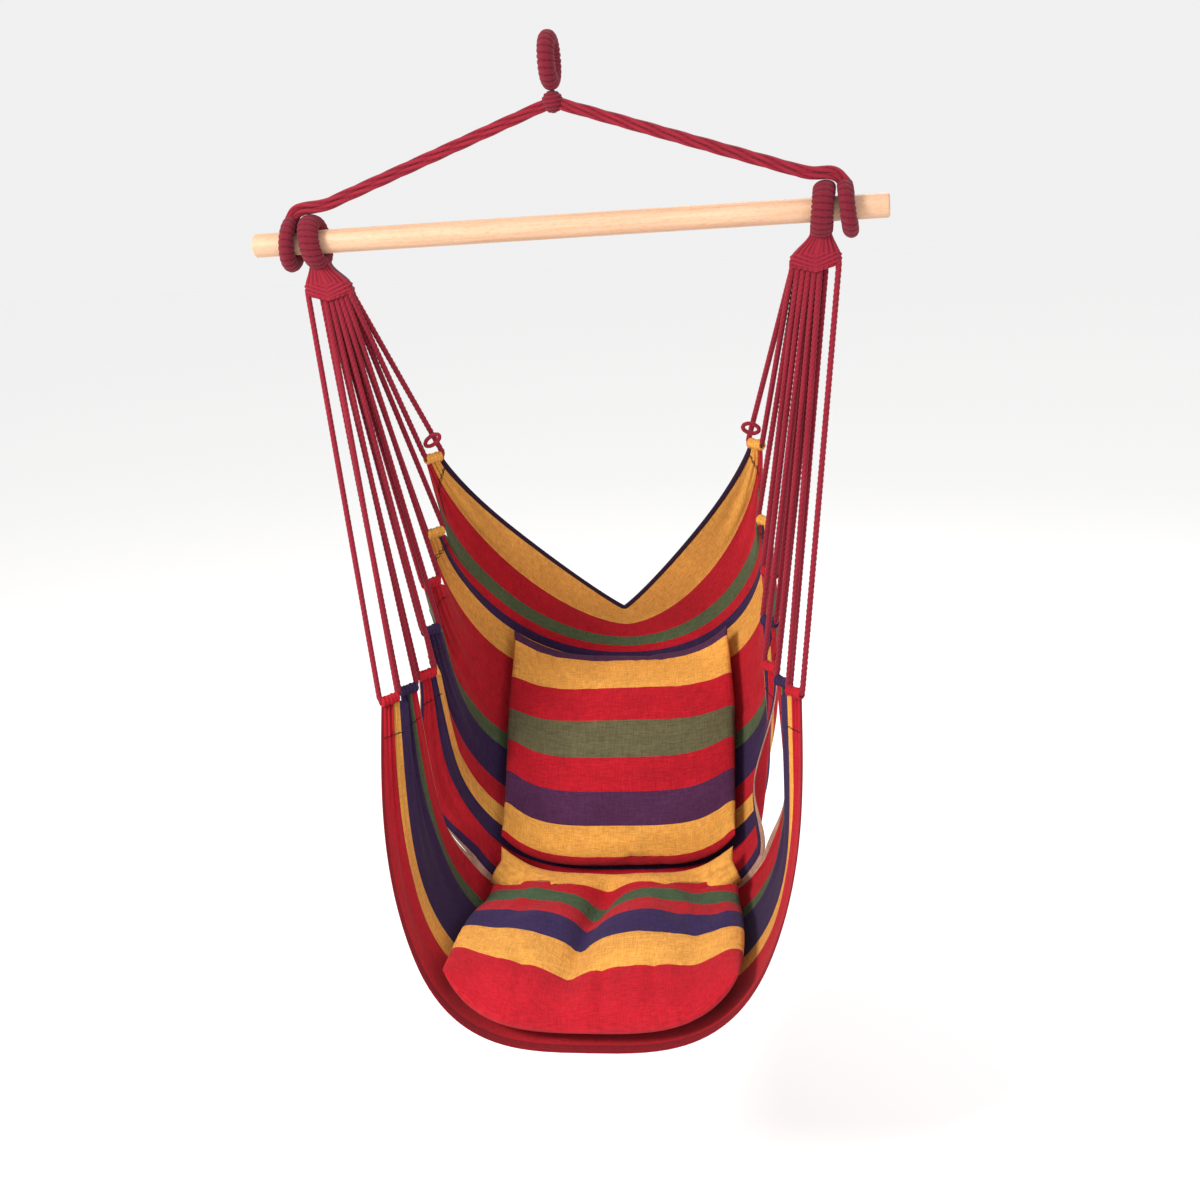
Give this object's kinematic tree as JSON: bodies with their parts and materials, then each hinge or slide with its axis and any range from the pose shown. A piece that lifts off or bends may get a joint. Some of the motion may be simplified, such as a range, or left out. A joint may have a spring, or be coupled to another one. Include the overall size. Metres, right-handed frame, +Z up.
{
  "type": "rope hammock chair",
  "caption": "Hanging hammock chair: a striped cloth sling with loose cushions, slung on doubled cords from a wooden spreader bar and a whipped rope hanger",
  "frame": {"origin": "inner crown of the hanging eye, where the hook's rod bears", "axes": "+Z up, +X along the spreader bar to the sitter's left, -Y to the open front of the chair"},
  "size_m": [1, 0.7122, 1.5282],
  "materials": {
    "cord": "wine red cotton cord, laid and whipped",
    "beech": "pale beech dowel, sanded and oiled",
    "canvas": "striped woven cotton canvas",
    "binding": "dark woven edge tape",
    "filling": "loose polyester fibre"
  },
  "bodies": {
    "eye": {"hanging_eye": "cord"},
    "throat": {"throat_knot": "cord"},
    "hanger": {"left_hanger_cord_1": "cord", "left_hanger_cord_2": "cord", "left_hanger_cord_3": "cord", "left_hanger_cord_4": "cord", "right_hanger_cord_1": "cord", "right_hanger_cord_2": "cord", "right_hanger_cord_3": "cord", "right_hanger_cord_4": "cord", "left_hanger_loop": "cord", "right_hanger_loop": "cord"},
    "bar": {"spreader_bar": "beech"},
    "chair": {"left_chair_loop": "cord", "right_chair_loop": "cord", "left_clew": "cord", "right_clew": "cord", "left_cord_1": "cord", "left_cord_2": "cord", "left_cord_3": "cord", "left_cord_4": "cord", "left_cord_5": "cord", "left_cord_6": "cord", "left_cord_7": "cord", "right_cord_1": "cord", "right_cord_2": "cord", "right_cord_3": "cord", "right_cord_4": "cord", "right_cord_5": "cord", "right_cord_6": "cord", "right_cord_7": "cord", "left_corner_tie": "cord", "right_corner_tie": "cord", "sling": "canvas", "back_edge_binding": "binding"},
    "seat_cushion": {"seat_cushion_cover": "canvas", "seat_cushion_filling": "filling"},
    "back_cushion": {"back_cushion_cover": "canvas", "back_cushion_filling": "filling"}
  },
  "joints": [
    {"name": "throat_sway", "type": "hinge", "parent": "eye", "child": "throat", "pos_m": [0, 0, -0.0765], "axis": [0, 1, 0], "range_deg": [-10, 10]},
    {"name": "hanger_swing", "type": "hinge", "parent": "throat", "child": "hanger", "pos_m": [0, 0, -0.0765], "axis": [1, 0, 0], "range_deg": [-30, 30]},
    {"name": "bar_roll", "type": "hinge", "parent": "hanger", "child": "bar", "pos_m": [0, 0, -0.262], "axis": [1, 0, 0], "continuous": true},
    {"name": "chair_swing", "type": "hinge", "parent": "hanger", "child": "chair", "pos_m": [0, 0, -0.262], "axis": [1, 0, 0], "range_deg": [-25, 25]},
    {"name": "seat_cushion_lift", "type": "slide", "parent": "chair", "child": "seat_cushion", "axis": [0, -0.7071, 0.7071], "range_m": [0, 0.2]},
    {"name": "back_cushion_lift", "type": "slide", "parent": "chair", "child": "back_cushion", "axis": [0, -0.6428, 0.766], "range_m": [0, 0.2]}
  ]
}
